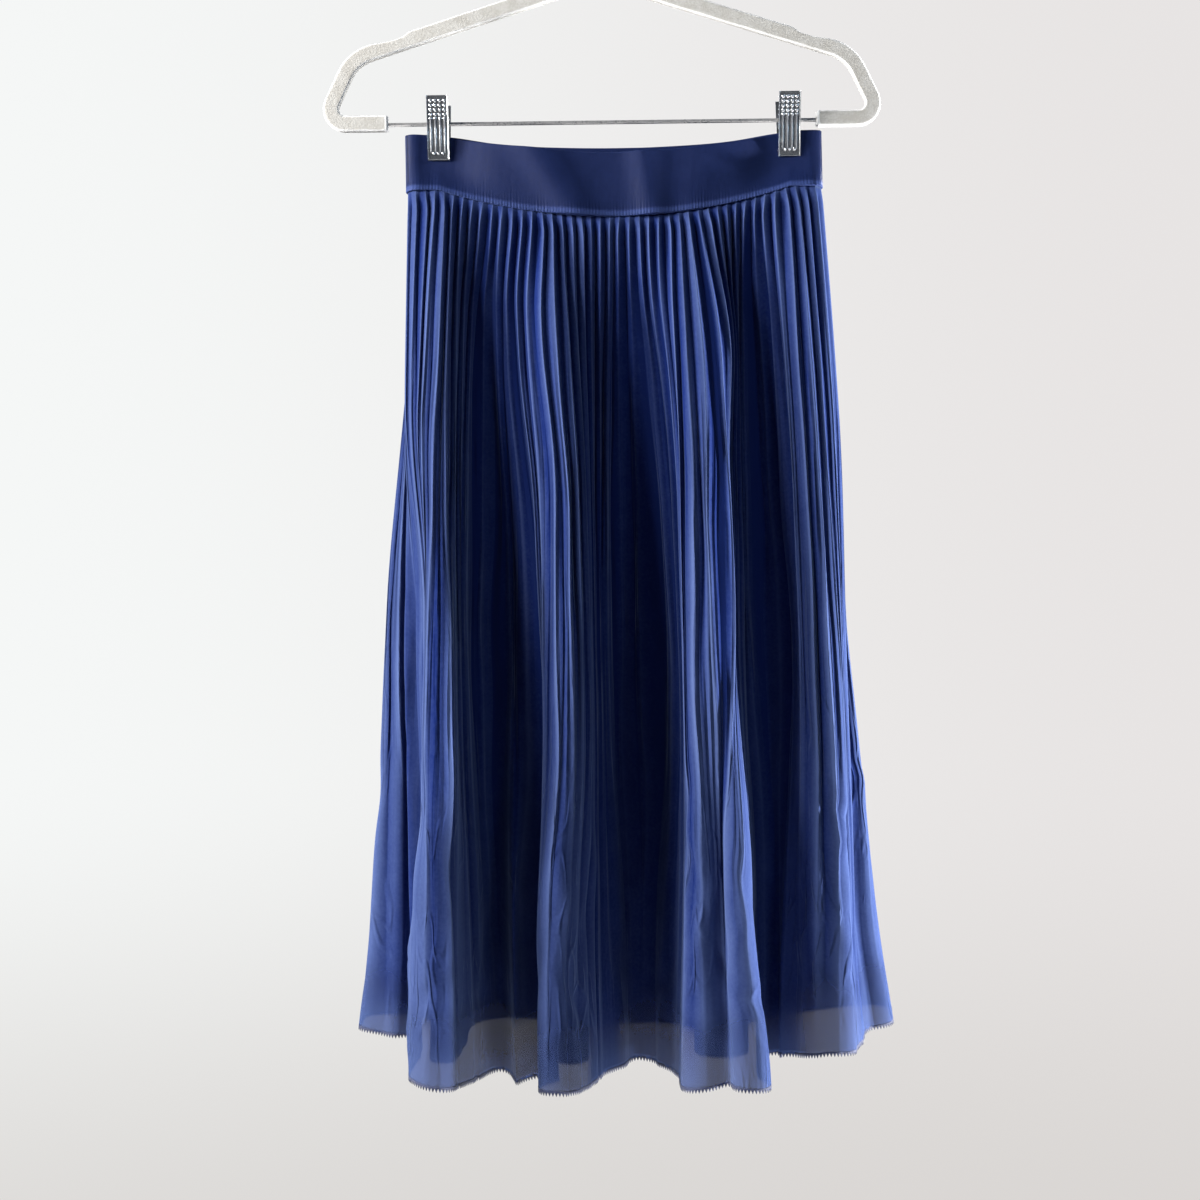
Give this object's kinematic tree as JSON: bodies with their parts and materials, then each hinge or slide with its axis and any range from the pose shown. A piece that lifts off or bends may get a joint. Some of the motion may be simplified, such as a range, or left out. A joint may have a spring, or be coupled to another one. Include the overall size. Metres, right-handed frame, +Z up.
{
  "type": "pleated midi skirt on clip hanger",
  "caption": "Accordion-pleated chiffon midi skirt with a wide satin elastic waistband, hung flat by its waist from the clips of a slim flocked hanger.",
  "frame": {"origin": "the lowest point inside the hook's top bend, where the hook bears on a rail", "axes": "+Z up, from hem to hook; +X to the right of someone facing the skirt's front, along the hanger; +Y away from that person, from the front panel to the back panel"},
  "size_m": [0.452, 0.1872, 0.9685],
  "materials": {
    "navy_chiffon": "matt sheer navy polyester chiffon, heat-set in accordion pleats, with a dark picot hem",
    "navy_elastic": "satin-faced navy elastic with a soft sheen",
    "cream_flock": "cream velvet flock over moulded plastic",
    "bright_steel": "bright drawn steel wire",
    "clip_chrome": "polished chrome over pressed steel"
  },
  "bodies": {
    "root": {"skirt_front": "navy_chiffon", "skirt_back": "navy_chiffon", "waistband": "navy_elastic", "hanger_frame": "cream_flock", "hanger_hook": "bright_steel", "clip_bar": "bright_steel", "clip_left_front_jaw": "clip_chrome", "clip_left_back_jaw": "clip_chrome", "clip_left_spring": "bright_steel", "clip_right_front_jaw": "clip_chrome", "clip_right_back_jaw": "clip_chrome", "clip_right_spring": "bright_steel"}
  },
  "joints": []
}
